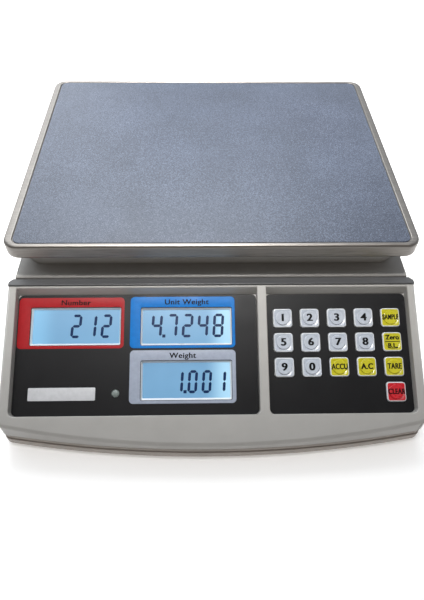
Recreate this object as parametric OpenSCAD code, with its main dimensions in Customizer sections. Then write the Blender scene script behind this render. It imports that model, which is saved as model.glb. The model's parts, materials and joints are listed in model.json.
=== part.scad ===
// Counting scale: a flat stainless platter on a single load cell, over a plastic housing whose sloped
// console carries three displays and a keypad. X runs left to right, Y front to back and Z up.
// The origin is on the bench, under the middle of the whole outline.

/* [Platter] */
// Platter width, left to right
platter_w = 294; // [290:1:298]
// Platter depth, front to back
platter_d = 228; // [224:1:230]
// Height of the platter's rim above the bench
platter_top = 110; // [110:0.5:114]
// Height of the platter's skirt
skirt_h = 11.5; // [9:0.5:12]
// Corner radius of the platter
platter_r = 10.5; // [8:0.5:14]
// Thickness of the platter's sheet
sheet_t = 1.2; // [0.8:0.1:1.4]
// How far the mat's bed is pressed below the rim
bed_depth = 1; // [0.8:0.1:1.2]
// Bare steel left and right of the mat
mat_side = 6.7; // [5:0.1:9]
// Bare steel in front of and behind the mat
mat_front = 4.2; // [3.5:0.1:7]
// Thickness of the mat
mat_t = 0.8; // [0.5:0.1:0.8]

/* [Housing] */
// Width of the housing at its foot
body_w = 302.6; // [302:0.2:304]
// Width of the console at its top edge
console_w = 300.4; // [300:0.2:301]
// Width of the shelf under the platter
shelf_w = 291; // [289:0.5:293]
// Depth of the whole scale
total_d = 335; // [334:1:337]
// Radius of the bowed front wall in plan
bow_r = 875; // [800:5:1000]
// Radius of the housing's front corners in plan
corner_r = 6; // [4:0.5:8]
// Radius of the housing's rear corners in plan
rear_r = 12; // [8:0.5:16]
// Height of the shelf under the platter
shelf_z = 78; // [77:0.5:79]
// Height of the plinth that stands on the shelf
plinth_h = 14; // [12:0.5:14]
// Wall thickness of the plastic housing
wall = 3; // [2.5:0.1:3.2]
// Height of the parting groove's upper edge
parting_z = 16.5; // [16:0.5:18]
// Height of the parting groove
groove_h = 2.5; // [1.5:0.1:3]
// Clearance between the bench and the lower housing
ground_gap = 4; // [3.5:0.5:4]

/* [Console] */
// Slope of the console
panel_tilt = 27.06; // [26.5:0.01:27.5]
// Height of the overlays' upper edge
panel_z = 66.5; // [66:0.5:67]
// Length of the overlays down the slope
panel_len = 88; // [87:0.5:88]
// Vertical depth of the two recesses in the console
recess_drop = 7.5; // [7:0.1:8]
// Thickness of the overlays
overlay_t = 1; // [0.8:0.1:1.2]
// Corner radius of the overlays
overlay_r = 3.5; // [2:0.5:5]
// Sideways pitch of the keys
key_pitch_x = 20.1; // [19:0.1:20.2]
// Pitch of the keys down the slope
key_pitch_v = 18.2; // [17.5:0.1:18.4]
// Width of a key
key_w = 14; // [13:0.1:14.4]
// Travel of a key
key_travel = 0.6; // [0.3:0.1:0.8]

/* [Feet] */
// Distance of the feet from the middle, left and right
foot_x = 122; // [118:1:124]
// Position of the front feet
foot_front_y = -118; // [-120:1:-112]
// Position of the rear feet
foot_rear_y = 136; // [130:1:137]
// Diameter of the feet's thread
foot_thread_d = 8; // [6:1:8]

/* [Hidden] */
$fn = 48;

rear_foot_w = body_w - 1.2;
fine = 0.1;              // overshoot of a cutter past the face that it cuts
gap = 0.3;               // clearance between pieces that move past each other
run = 0.05;              // radial clearance of a running fit

front_y = -total_d / 2;
platter_y = total_d / 2 - platter_d / 2;
body_rear_y = total_d / 2 - 7.5;
strip_y0 = -65.5;
strip_y1 = -59;
strip_top = 76;
strip_t = 4.5;
strip_chamfer = 3;
panel_y = -67.5;
face_h = recess_drop * cos(panel_tilt);
face_slope = tan(panel_tilt);
face_z = panel_z + recess_drop;

left_x0 = -143.8;
left_x1 = 32.6;
right_x0 = 39.4;
right_x1 = 144.4;
floor_t = 2;
floor_h = -overlay_t - floor_t;

number_window = [-134, -68, 9.4, 37.4];
unit_window = [-53.2, 13.8, 9.8, 37.8];
weight_window = [-52.6, 13.2, 49.2, 77.4];
WINDOWS = [number_window, unit_window, weight_window];
lcd_h = -2.85;
lcd_t = 4.1;
lcd_margin = 1.7;
display_x0 = -137;
display_x1 = 17;
display_v0 = 6.5;
display_v1 = 81.5;
board_t = 1.6;
display_board_h = lcd_h - lcd_t - 0.2 - board_t;
lens_x = -70.6;
lens_v = 72.3;
lens_r = 2.8;

key_x0 = 51.7;
key_v0 = 18.4;
key_r = 2.2;
key_top = 0.9;
key_dome_r = 5.3;
key_dome_h = 0.6;
key_flange = 0.6;
key_bottom = -overlay_t - gap - 1.1;
dome_top = key_bottom - key_travel - 0.4;
dome_r = 4;
domes_h = dome_top - 0.9;
domes_t = 0.8;
keypad_board_h = domes_h - domes_t - board_t;

floor_z = ground_gap + wall;
plate_z = 13;
plate_t = 2.5;
plate_top = plate_z + plate_t;
lip_gap = 1.3;
lip_t = 1.6;
lip_top = parting_z + 3.5;
step_z = ground_gap + 6.5;
step_in = 1;
plinth_x = 140;
plinth_y0 = -46;
plinth_y1 = 2 * platter_y - plinth_y0;
plinth_r = 14;
plinth_top = shelf_z + plinth_h;

cell_l = 130;
cell_w = 30;
cell_t = 22;
cell_z = 44;
cell_bolt_x = [43, 57];
m6_r = 3;
m6_head_r = 5;
support_z = 95;
arm_x = 115;
arm_y = 80;
arm_w = 22;
arm_t = 8;
support_top = support_z + arm_t;
head_seat_z = support_top - 6.5;
pad_r = 10;
pad_seat_z = support_top - 2;
boss_r = 13.5;
pad_top = platter_top - bed_depth - sheet_t - 0.2;
stop_x = 92;
stop_y = stop_x * arm_y / arm_x;
stop_r = 4;

battery_l = 101;
battery_w = 70;
battery_h = 47;
battery_y = 109;
battery_z = floor_z + 0.2;
cover_l = battery_l + 11;
cover_w = battery_w + 8;

screw_post_r = 5;
SCREWS = [for (s = [-1, 1]) each [[s * 140, -50], [s * 140, 60], [s * 60, -152], [s * 62, 148]]];

inlet_x = 90;
inlet_z = 45;
inlet_w = 27;
inlet_h = 20;
inlet_depth = 18;
switch_y = 20;
switch_z = 60;
switch_w = 21.6;
switch_h = 16;
switch_depth = 19;
draft = atan((rear_foot_w - shelf_w) / 2 / (shelf_z - parting_z - 2));
switch_x = rear_foot_w / 2 - (switch_z - parting_z - 1) * tan(draft);
rocker_rest = 8;
pivot_in = 3;
vial_y = -28;
vial_r = 7.8;

foot_r = foot_thread_d / 2;
pad_foot_r = 12;
pad_foot_t = 3.2;
disc_r = 13.5;
disc_t = 6;
disc_z = pad_foot_t + 0.2;
well_r = 15.5;
well_top = disc_z + disc_t + gap;
boss_top = 27;

main_x0 = -70;
main_x1 = 80;
main_y0 = -98;
main_y1 = -18;
main_z = 20;
plug_h = 6;
wire_z = main_z + board_t + plug_h / 2;
lead_x = 20;
signal_x = 0;
supply_x = 70;
PLUGS = [-lead_x, signal_x, lead_x, supply_x];

// --- shared shapes ---------------------------------------------------------------------------------

module rounded_rect(w, d, r) {
    square([w - 2 * r, d], center = true);
    square([w, d - 2 * r], center = true);
    for (x = [-1, 1], y = [-1, 1]) {
        translate([x * (w / 2 - r), y * (d / 2 - r)]) circle(r = r);
    }
}

module rounded_block(w, d, h, r) {
    linear_extrude(height = h) rounded_rect(w, d, r);
}

module cylinder_from(r, z0, z1) {
    translate([0, 0, z0]) cylinder(r = r, h = z1 - z0);
}

// Turns a drawing of Y and Z into a bar that runs along X
module along_x(w) {
    rotate([90, 0, 90]) linear_extrude(height = w, center = true) children();
}

// Turns a drawing of X and Z into a bar that runs along Y
module along_y(y0, y1) {
    translate([0, y1, 0]) rotate([90, 0, 0]) linear_extrude(height = y1 - y0) children();
}

// The console's own frame: X right, Y up the slope, Z out of the overlays' face
module on_panel() {
    translate([0, panel_y, panel_z]) rotate([panel_tilt, 0, 0]) children();
}

// A plate on the console between two X and two down-slope limits, with round corners
module panel_plate(x0, x1, v0, v1, h0, h1, r) {
    translate([(x0 + x1) / 2, -(v0 + v1) / 2, h0]) rounded_block(x1 - x0, v1 - v0, h1 - h0, r);
}

module panel_box(x0, x1, v0, v1, h0, h1) {
    translate([x0, -v1, h0]) cube([x1 - x0, v1 - v0, h1 - h0]);
}

// The housing in plan: a bowed front, small front corners and larger rear ones
module housing_plan(inset) {
    half = body_w / 2 - inset;
    front_r = corner_r - min(inset, corner_r - 1);
    back_r = rear_r - inset;
    bow = bow_r - inset;
    bow_y = front_y + bow_r;
    corner_x = half - front_r;
    corner_y = bow_y - sqrt(pow(bow - front_r, 2) - pow(corner_x, 2));
    rear = body_rear_y - inset;
    intersection() {
        translate([0, bow_y]) circle(r = bow, $fn = 720);
        translate([-corner_x, front_y]) square([2 * corner_x, total_d / 2]);
    }
    translate([-half, corner_y]) square([2 * half, rear - back_r - corner_y]);
    translate([back_r - half, 0]) square([2 * (half - back_r), rear]);
    for (s = [-1, 1]) {
        translate([s * corner_x, corner_y]) circle(r = front_r);
        translate([s * (half - back_r), rear - back_r]) circle(r = back_r);
    }
}

module housing_slab(inset, z0, z1) {
    translate([0, 0, z0]) linear_extrude(height = z1 - z0) housing_plan(inset);
}

// A round wire through a list of points
module wire(points, r) {
    for (i = [1 : len(points) - 1]) {
        a = points[i - 1];
        step = points[i] - a;
        translate(a) rotate([0, acos(step[2] / norm(step)), atan2(step[1], step[0])])
            cylinder(r = r, h = norm(step), $fn = 16);
    }
    for (i = [1 : 1 : len(points) - 2]) {
        translate(points[i]) sphere(r = r, $fn = 16);
    }
}

// Copies a drawing to the four places at x and y from the middle of the platter
module round_platter(x, y) {
    for (sx = [-1, 1], sy = [-1, 1]) {
        translate([sx * x, platter_y + sy * y, 0]) children();
    }
}

// Copies a drawing to the middle of each foot
module at_feet() {
    for (x = [-1, 1], y = [foot_front_y, foot_rear_y]) {
        translate([x * foot_x, y, 0]) children();
    }
}

// A hexagon socket screw, M6, whose shank stands on Z 0
module m6_screw(shank) {
    cylinder(r = m6_r, h = shank);
    translate([0, 0, shank]) difference() {
        cylinder(r = m6_head_r, h = 6);
        translate([0, 0, 3]) cylinder(r = 2.5, h = 4, $fn = 6);
    }
}

// --- housing ---------------------------------------------------------------------------------------

// The console without its recesses, drawn in by t on every outer face
module console_solid(t) {
    top = strip_top - strip_t - t;
    face_drop = t / cos(panel_tilt);
    intersection() {
        housing_slab(t, parting_z - (t > 0 ? fine : 0), shelf_z);
        along_y(front_y - fine, strip_y1 - t) polygon([
            [-body_w / 2 + t, parting_z - fine], [body_w / 2 - t, parting_z - fine],
            [console_w / 2 - t, strip_top], [t - console_w / 2, strip_top]
        ]);
        along_x(body_w) polygon([
            [front_y, 0], [strip_y1 - t, 0], [strip_y1 - t, top], [strip_y0 - t, top],
            [strip_y0 - t, face_z - face_drop + (panel_y - strip_y0 + t) * -face_slope],
            [front_y, face_z - face_drop - (panel_y - front_y) * face_slope]
        ]);
    }
}

// The part of the housing behind the console, which narrows towards the shelf
module rear_solid(t) {
    y0 = strip_y1 + (t > 0 ? t : 0);
    foot = [parting_z - (t > 0 ? fine : 0), rear_foot_w / 2 - t];
    head = [shelf_z - t - 1, shelf_w / 2 - t];
    hull() {
        for (level = [foot, head]) {
            for (s = [-1, 1]) {
                translate([s * (level[1] - 1) - 1, y0, level[0]]) cube([2, 1, 1]);
                translate([s * (level[1] - rear_r + t), body_rear_y - rear_r, level[0]])
                    cylinder(r = rear_r - t, h = 1, $fn = 32);
            }
        }
    }
}

module plinth_solid(t) {
    translate([0, platter_y, shelf_z - wall - fine])
        rounded_block(2 * (plinth_x - t), plinth_y1 - plinth_y0 - 2 * t,
                      plinth_h + wall + fine - t, plinth_r - t);
}

// A recess with round lower corners and a nearly upright back wall
module recess(x0, x1) {
    back_y = panel_y + 0.4;
    difference() {
        on_panel() panel_plate(x0, x1, -15, panel_len, -overlay_t, face_h + 12, overlay_r + 0.1);
        translate([(x0 + x1) / 2, 0, 0]) along_x(x1 - x0 + 2) polygon([
            [back_y, panel_z - 5], [back_y + 0.9, face_z + 25], [0, face_z + 25], [0, panel_z - 5]
        ]);
    }
}

module upper_housing() {
    color([0.66, 0.65, 0.62]) difference() {
        union() {
            difference() {
                union() {
                    console_solid(0);
                    rear_solid(0);
                    plinth_solid(0);
                }
                difference() {
                    union() {
                        console_solid(wall);
                        rear_solid(wall);
                        plinth_solid(wall);
                        translate([-plinth_x, strip_y1 - 2 * wall, parting_z - fine])
                            cube([2 * plinth_x, 3 * wall, strip_top - strip_t - wall - parting_z - 2]);
                    }
                    on_panel() panel_box(left_x0 - wall, right_x1 + wall, -wall - 0.5, panel_len + wall,
                                         floor_h, face_h);
                }
            }
            intersection() {
                for (p = SCREWS) {
                    translate([p[0], p[1], parting_z]) cylinder(r = screw_post_r, h = plinth_top);
                }
                union() {
                    console_solid(1);
                    rear_solid(1);
                }
            }
        }
        recess(left_x0, left_x1);
        recess(right_x0, right_x1);
        on_panel() {
            panel_box(display_x0, display_x1, display_v0, display_v1, floor_h - 1, 0);
            panel_box(right_x0 + 3, right_x1 - 3, 9, 82, floor_h - 1, 0);
        }
        for (p = SCREWS) {
            translate([p[0], p[1], 0]) cylinder(r = 2.1, h = 24);
        }
        translate([-75, platter_y - 25, shelf_z]) cube([150, 50, plinth_h + 1]);
        round_platter(stop_x, stop_y) translate([0, 0, shelf_z]) cylinder(r = stop_r + 2.5, h = plinth_h + 1);
        translate([0, vial_y, shelf_z]) cylinder(r = vial_r + 0.2, h = plinth_h + 1);
        translate([inlet_x - inlet_w / 2 - gap, body_rear_y - 2 * wall, inlet_z - inlet_h / 2 - gap])
            cube([inlet_w + 2 * gap, 3 * wall, inlet_h + 2 * gap]);
        on_side() translate([-2 * wall, -switch_w / 2 - 0.2, -switch_h / 2 - 0.2])
            cube([3 * wall, switch_w + 0.4, switch_h + 0.4]);
    }
}

module lower_housing() {
    cover_seat = 2.2;
    color([0.60, 0.58, 0.55]) difference() {
        union() {
            difference() {
                union() {
                    housing_slab(0, ground_gap, step_z);
                    housing_slab(step_in, step_z - fine, parting_z - groove_h);
                    housing_slab(wall + lip_gap, step_z, lip_top);
                }
                housing_slab(wall + lip_gap + lip_t, floor_z, lip_top + 1);
            }
            at_feet() cylinder_from(well_r + 2.5, ground_gap, plate_z);
            for (p = SCREWS) {
                translate([p[0], p[1], 0]) cylinder_from(screw_post_r, ground_gap, parting_z - 0.2);
            }
            for (x = [-1, 1]) {
                translate([x * 30, -100, ground_gap]) cylinder(r = 6, h = plate_z - ground_gap);
                translate([x * 85, 20, ground_gap]) cylinder(r = 6, h = plate_z - ground_gap);
            }
            translate([-battery_l / 2 - 3.5, battery_y - battery_w / 2 - 2.3, ground_gap])
                cube([battery_l + 7, battery_w + 4.6, 16]);
        }
        at_feet() {
            cylinder(r = well_r, h = well_top);
            cylinder(r = foot_r + 1, h = plate_z + 1);
        }
        for (p = SCREWS) {
            translate([p[0], p[1], 0]) {
                cylinder(r = 2.3, h = parting_z + 1);
                cylinder(r = 4.4, h = ground_gap + 4);
            }
        }
        translate([-battery_l / 2 - 1, battery_y - battery_w / 2 - 0.8, 0])
            cube([battery_l + 2, battery_w + 1.6, lip_top + 10]);
        translate([0, battery_y, 0]) rounded_block(cover_l + 0.6, cover_w + 0.6, ground_gap + cover_seat, 3);
        // Notches in the lip for the rib between the console and the rear of the upper housing
        for (s = [-1, 1]) {
            translate([s * 146.5 - 3, strip_y1 - wall - 0.4, parting_z - gap]) cube([6, 2 * wall + 0.8, 6]);
        }
    }
}

module trim_strip() {
    half = console_w / 2;
    color([0.30, 0.31, 0.33]) translate([0, 0, strip_top - strip_t]) linear_extrude(height = strip_t)
        polygon([
            [-half, strip_y0 + 0.1], [half, strip_y0 + 0.1], [half, strip_y1 - strip_chamfer],
            [half - strip_chamfer, strip_y1 - 0.1], [strip_chamfer - half, strip_y1 - 0.1],
            [-half, strip_y1 - strip_chamfer]
        ]);
}

module battery_cover() {
    color([0.60, 0.58, 0.55]) difference() {
        translate([0, battery_y, ground_gap + 0.1]) rounded_block(cover_l, cover_w, 2, 2.7);
        for (x = [-10, 0, 10]) {
            translate([x - 2, battery_y - 30, 0]) cube([4, 14, ground_gap + 1]);
        }
    }
}

module housing_screws() {
    color([0.62, 0.62, 0.64]) for (p = SCREWS) {
        translate([p[0], p[1], ground_gap + 1.6]) difference() {
            union() {
                cylinder(r = 3.8, h = 2.4);
                cylinder(r = 2, h = 17);
            }
            translate([-2.4, -0.5, -fine]) cube([4.8, 1, 1.2]);
            translate([-0.5, -2.4, -fine]) cube([1, 4.8, 1.2]);
        }
    }
}

// --- console ---------------------------------------------------------------------------------------

function key_at(col, row) = [key_x0 + col * key_pitch_x, key_v0 + row * key_pitch_v];
KEYS = [for (row = [0 : 2], col = [0 : 4]) key_at(col, row), key_at(4, 3)];

module display_overlay() {
    color([0.12, 0.12, 0.13]) on_panel() difference() {
        panel_plate(left_x0 + 0.15, left_x1 - 0.15, 0.15, panel_len - 0.15, -overlay_t, 0, overlay_r);
        for (w = WINDOWS) {
            panel_plate(w[0], w[1], w[2], w[3], -overlay_t - 1, 1, 1);
        }
        translate([lens_x, -lens_v, -overlay_t - 1]) cylinder(r = lens_r + 0.2, h = 3);
    }
}

module keypad_overlay() {
    hole = key_w / 2 + gap;
    color([0.12, 0.12, 0.13]) on_panel() difference() {
        panel_plate(right_x0 + 0.15, right_x1 - 0.15, 0.15, panel_len - 0.15, -overlay_t, 0, overlay_r);
        for (k = KEYS) {
            panel_plate(k[0] - hole, k[0] + hole, k[1] - hole, k[1] + hole, -overlay_t - 1, 1, key_r + gap);
        }
    }
}

module display_frame() {
    slack = 0.4;
    depth = 6.5;
    seat = lcd_margin + 0.3;
    color([0.78, 0.79, 0.78]) on_panel() difference() {
        panel_box(display_x0 + slack, display_x1 - slack, display_v0 + slack, display_v1 - slack,
                  -depth, -overlay_t);
        for (w = WINDOWS) {
            panel_plate(w[0], w[1], w[2], w[3], -depth - 1, 0, 1);
            panel_box(w[0] - seat, w[1] + seat, w[2] - seat, w[3] + seat, -depth - 1, lcd_h + 0.05);
        }
        translate([lens_x, -lens_v, -depth - 1]) cylinder(r = lens_r + 0.6, h = depth + 1);
    }
}

module lcd(w) {
    color([0.60, 0.78, 0.90]) on_panel()
        panel_box(w[0] - lcd_margin, w[1] + lcd_margin, w[2] - lcd_margin, w[3] + lcd_margin,
                  lcd_h - lcd_t, lcd_h);
}

module display_board() {
    h = display_board_h;
    color([0.10, 0.35, 0.18]) on_panel() {
        panel_box(display_x0 + 1, display_x1 - 1, display_v0 + 0.5, display_v1 - 0.5, h, h + board_t);
        panel_box(-50, -34, 26, 34, h - 5, h);
        panel_box(-120, -100, 22, 34, h - 2, h);
        panel_box(-16, 2, 22, 34, h - 2, h);
    }
}

module indicator_lens() {
    color([0.55, 0.60, 0.58]) on_panel() translate([lens_x, -lens_v, display_board_h + board_t]) {
        cylinder(r = lens_r, h = -display_board_h - board_t - 0.6);
        translate([0, 0, -display_board_h - board_t - 0.6]) intersection() {
            translate([0, 0, -4.4]) sphere(r = sqrt(4.4 * 4.4 + lens_r * lens_r));
            cylinder(r = lens_r, h = 2);
        }
    }
}

module key(i) {
    k = KEYS[i];
    half = key_w / 2;
    wide = half + key_flange;
    on_panel() {
        panel_plate(k[0] - half, k[0] + half, k[1] - half, k[1] + half, key_bottom, key_top, key_r);
        panel_plate(k[0] - wide, k[0] + wide, k[1] - wide, k[1] + wide,
                    key_bottom, -overlay_t - gap, key_r + key_flange);
        translate([k[0], -k[1], key_top]) cylinder(r = key_dome_r, h = key_dome_h);
    }
}

module digit_key(i) {
    color([0.78, 0.81, 0.85]) key(i);
}

module function_key(i) {
    color([0.80, 0.78, 0.16]) key(i);
}

module key_domes() {
    color([0.75, 0.75, 0.72]) on_panel() {
        panel_box(right_x0 + 4, right_x1 - 4, 10, 81, domes_h - domes_t, domes_h);
        for (k = KEYS) {
            translate([k[0], -k[1], domes_h - fine]) cylinder(r = dome_r, h = dome_top - domes_h + fine);
        }
    }
}

module keypad_board() {
    h = keypad_board_h;
    color([0.10, 0.35, 0.18]) on_panel() {
        panel_box(right_x0 + 3.5, right_x1 - 3.5, 9.5, 81.5, h, h + board_t);
        panel_box(56, 72, 26, 34, h - 5, h);
    }
}

// --- inside the housing ----------------------------------------------------------------------------

module chassis_plate() {
    color([0.55, 0.57, 0.60]) difference() {
        union() {
            difference() {
                translate([-132, -136, plate_z]) cube([264, 278, plate_t]);
                translate([-battery_l / 2 - 5.5, 70, plate_z - 1]) cube([battery_l + 11, 80, plate_t + 2]);
            }
            at_feet() cylinder_from(8, plate_z, boss_top);
        }
        at_feet() cylinder_from(foot_r + run, plate_z - 1, boss_top + 1);
    }
}

module load_cell_bracket() {
    color([0.70, 0.71, 0.72]) difference() {
        translate([-cell_l / 2, platter_y - cell_w / 2, plate_top]) union() {
            cube([cell_w, cell_w, cell_z - plate_top]);
            translate([-8, -8, 0]) cube([cell_w + 16, cell_w + 10.5, 5]);
        }
        for (x = cell_bolt_x) {
            translate([-x, platter_y, cell_z - 16]) cylinder(r = m6_r + run, h = 20);
        }
    }
}

module load_cell() {
    mid_z = cell_z + cell_t / 2;
    flex_x = 14;
    flex_r = 8;
    color([0.78, 0.79, 0.80]) difference() {
        translate([-cell_l / 2, platter_y - cell_w / 2, cell_z]) cube([cell_l, cell_w, cell_t]);
        for (x = [-flex_x, flex_x]) {
            translate([x, platter_y - cell_w, mid_z]) rotate([-90, 0, 0])
                cylinder(r = flex_r, h = 2 * cell_w);
        }
        translate([-flex_x, platter_y - cell_w, mid_z - 3]) cube([2 * flex_x, 2 * cell_w, 6]);
        for (x = cell_bolt_x, s = [-1, 1]) {
            translate([s * x, platter_y, cell_z - 1]) cylinder(r = m6_r + 0.2, h = cell_t + 2);
        }
    }
}

module load_cell_bolts() {
    color([0.45, 0.46, 0.48]) for (x = cell_bolt_x) {
        translate([-x, platter_y, cell_z - 14]) m6_screw(cell_t + 14);
    }
}

module platter_support() {
    hub_l = 160;
    hub_w = 50;
    reach = norm([arm_x, arm_y]);
    color([0.72, 0.73, 0.74]) difference() {
        union() {
            translate([0, platter_y, support_z]) linear_extrude(height = arm_t) {
                square([hub_l, hub_w], center = true);
                for (s = [-1, 1]) {
                    rotate(s * atan2(arm_y, arm_x)) square([2 * reach, arm_w], center = true);
                }
            }
            round_platter(arm_x, arm_y) cylinder_from(boss_r, support_z, support_top);
            translate([cell_l / 2 - cell_w, platter_y - cell_w / 2, cell_z + cell_t])
                cube([cell_w, cell_w, support_z - cell_z - cell_t + 1]);
        }
        round_platter(arm_x, arm_y) cylinder_from(pad_r, pad_seat_z, support_top + 1);
        for (x = cell_bolt_x) {
            translate([x, platter_y, cell_z]) cylinder(r = m6_r + 0.2, h = support_top);
            translate([x, platter_y, head_seat_z]) cylinder(r = m6_head_r + gap, h = 8);
        }
    }
}

module support_bolts() {
    color([0.45, 0.46, 0.48]) for (x = cell_bolt_x) {
        translate([x, platter_y, cell_z + 4]) m6_screw(head_seat_z - cell_z - 4);
    }
}

module support_pads() {
    color([0.15, 0.15, 0.15]) round_platter(arm_x, arm_y) cylinder_from(pad_r - 0.1, pad_seat_z, pad_top);
}

module overload_stops() {
    top = support_z - 0.8;
    color([0.62, 0.62, 0.64]) round_platter(stop_x, stop_y) {
        cylinder_from(stop_r, plate_top, top);
        translate([0, 0, plate_top]) cylinder(r = 7, h = 6, $fn = 6);
    }
}

module platter() {
    bed_w = platter_w - 2 * mat_side + 0.8;
    bed_d = platter_d - 2 * mat_front + 0.8;
    under = platter_top - sheet_t;
    color([0.80, 0.80, 0.79]) translate([0, platter_y, 0]) difference() {
        union() {
            difference() {
                translate([0, 0, platter_top - skirt_h])
                    rounded_block(platter_w, platter_d, skirt_h, platter_r);
                translate([0, 0, platter_top - skirt_h - 1])
                    rounded_block(platter_w - 2 * sheet_t, platter_d - 2 * sheet_t,
                                  under - platter_top + skirt_h + 1, platter_r - sheet_t);
            }
            translate([0, 0, under - bed_depth])
                rounded_block(bed_w + 2 * sheet_t, bed_d + 2 * sheet_t, bed_depth + fine, 6 + sheet_t);
        }
        translate([0, 0, platter_top - bed_depth]) rounded_block(bed_w, bed_d, bed_depth + 1, 6);
    }
}

module platter_mat() {
    color([0.36, 0.39, 0.44]) translate([0, platter_y, platter_top - bed_depth])
        rounded_block(platter_w - 2 * mat_side, platter_d - 2 * mat_front, mat_t, 5.6);
}

module battery() {
    color([0.16, 0.17, 0.19]) translate([-battery_l / 2, battery_y - battery_w / 2, battery_z]) {
        cube([battery_l, battery_w, battery_h]);
        for (x = [-20, 20]) {
            translate([battery_l / 2 + x - 2.4, 3, battery_h - fine]) cube([4.8, 4, 6 + fine]);
        }
    }
}

module transformer() {
    core = [40, 45, 34];
    ear = 5;
    winding = [28, 51, 22];
    color([0.42, 0.40, 0.38]) translate([103, 76, plate_top]) {
        difference() {
            union() {
                cube(core);
                translate([-fine, -ear, 0]) cube([core[0] + 2 * fine, core[1] + 2 * ear, 2]);
            }
            for (x = [8, core[0] - 8], y = [-ear / 2, core[1] + ear / 2]) {
                translate([x, y, -1]) cylinder(r = 1.6, h = 4);
            }
        }
        translate((core - winding) / 2) cube(winding);
    }
}

module main_board() {
    z = main_z + board_t;
    color([0.10, 0.35, 0.18]) {
        translate([main_x0, main_y0, main_z]) cube([main_x1 - main_x0, main_y1 - main_y0, board_t]);
        for (x = [main_x0 + 6, main_x1 - 6], y = [main_y0 + 6, main_y1 - 6]) {
            translate([x, y, plate_top]) cylinder(r = 3, h = main_z - plate_top + fine);
        }
        for (x = PLUGS) {
            translate([x - 5, main_y1 - 6, z - fine]) cube([10, 6, plug_h + fine]);
        }
        for (x = [-50, 56]) {
            translate([x, -93, z - fine]) cube([16, 6, plug_h + fine]);
        }
        translate([-10, -70, z - fine]) cube([24, 24, 2 + fine]);
        translate([-48, -62, z - fine]) cube([10, 22, 2.5 + fine]);
        translate([34, -50, z - fine]) cylinder(r = 6, h = 9 + fine);
        translate([50, -60, z - fine]) cylinder(r = 5, h = 12 + fine);
    }
}

module load_cell_cable() {
    color([0.20, 0.20, 0.22]) wire([
        [signal_x, platter_y - cell_w / 2, 48], [signal_x, 30, 48],
        [signal_x, 30, wire_z], [signal_x, main_y1, wire_z]
    ], 1.6);
}

// A flat cable that stands on a plug of the main board and ends on a plug under a console board
module ribbon(x, board_h) {
    start = main_z + board_t + plug_h;
    color([0.55, 0.56, 0.58]) difference() {
        translate([x + 1, -90.6, start]) cube([14, 1.2, 50]);
        on_panel() translate([-200, -200, board_h - 5]) cube([400, 400, 60]);
    }
}

module board_ribbons() {
    ribbon(-50, display_board_h);
    ribbon(56, keypad_board_h);
}

module power_wiring() {
    wire_r = 1.2;
    lead_y = battery_y - battery_w / 2 - 3.4;
    tab_z = battery_z + battery_h + 3;
    inlet_back = body_rear_y - inlet_depth;
    live_x = inlet_x - 6;
    live_z = 50;
    core_x = 112;
    core_z = 36;
    color([0.55, 0.12, 0.12]) {
        for (s = [-1, 1]) {
            wire([
                [s * lead_x, lead_y + 6.4, tab_z], [s * lead_x, lead_y, tab_z],
                [s * lead_x, lead_y, wire_z], [s * lead_x, main_y1, wire_z]
            ], wire_r);
        }
        wire([[live_x, inlet_back, live_z], [live_x, switch_y, live_z],
              [switch_x - 28, switch_y, live_z], [switch_x - 28, switch_y, switch_z - 2],
              [switch_x - switch_depth - 0.9, switch_y, switch_z - 2]], wire_r);
        wire([[inlet_x + 6, inlet_back, core_z], [inlet_x + 6, 137, core_z],
              [core_x, 137, core_z], [core_x, 124, core_z]], wire_r);
        wire([[core_x, 73, wire_z], [core_x, 66, wire_z],
              [supply_x, 66, wire_z], [supply_x, main_y1, wire_z]], wire_r);
    }
}

// --- power inlet and switch ------------------------------------------------------------------------

module power_inlet() {
    color([0.10, 0.10, 0.11]) translate([inlet_x, body_rear_y, inlet_z]) {
        difference() {
            union() {
                along_y(0, 2.4) rounded_rect(31, 24, 2.5);
                translate([-inlet_w / 2, -inlet_depth, -inlet_h / 2])
                    cube([inlet_w, inlet_depth + fine, inlet_h]);
            }
            along_y(-16, 3) polygon([
                [-12, -8.2], [12, -8.2], [12, 4], [8, 8.2], [-8, 8.2], [-12, 4]
            ]);
        }
        for (p = [[-7, -2], [7, -2], [0, 2]]) {
            translate([p[0] - 1, -16 - fine, p[1] - 2]) cube([2, 13, 4]);
        }
    }
}

// The switch's own frame on the right-hand wall: X out of the wall, Y back and Z up the wall
module on_side() {
    translate([switch_x, switch_y, switch_z]) rotate([0, -draft, 0]) children();
}

module switch_body() {
    seat_gap = 0.1;
    color([0.10, 0.10, 0.11]) on_side() difference() {
        union() {
            translate([seat_gap, -12.5, -9.5]) cube([1.7, 25, 19]);
            translate([-switch_depth, -switch_w / 2, -switch_h / 2])
                cube([switch_depth + seat_gap + fine, switch_w, switch_h]);
        }
        translate([-9, -9.4, -6.6]) cube([12, 18.8, 13.2]);
        translate([-pivot_in, 0, -7.4]) cylinder(r = 1 + run, h = 14.8);
    }
}

module switch_rocker() {
    half = 8.2;
    color([0.75, 0.12, 0.10]) on_side() translate([-pivot_in, 0, 0]) rotate([0, 0, rocker_rest]) {
        translate([0, 0, -6.2]) linear_extrude(height = 12.4)
            polygon([[-3, 1 - half], [-3, half - 1], [5.2, half], [3.8, 0], [5.2, -half]]);
        translate([0, 0, -7.2]) cylinder(r = 1, h = 14.4);
    }
}

module level_vial() {
    color([0.75, 0.85, 0.35]) translate([0, vial_y, plinth_top]) {
        cylinder_from(vial_r, -7, 0);
        cylinder(r = 9.5, h = 1.2);
    }
}

// --- feet ------------------------------------------------------------------------------------------

function foot_at(i) = [(i % 2 == 0 ? -1 : 1) * foot_x, i < 2 ? foot_front_y : foot_rear_y];

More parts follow.
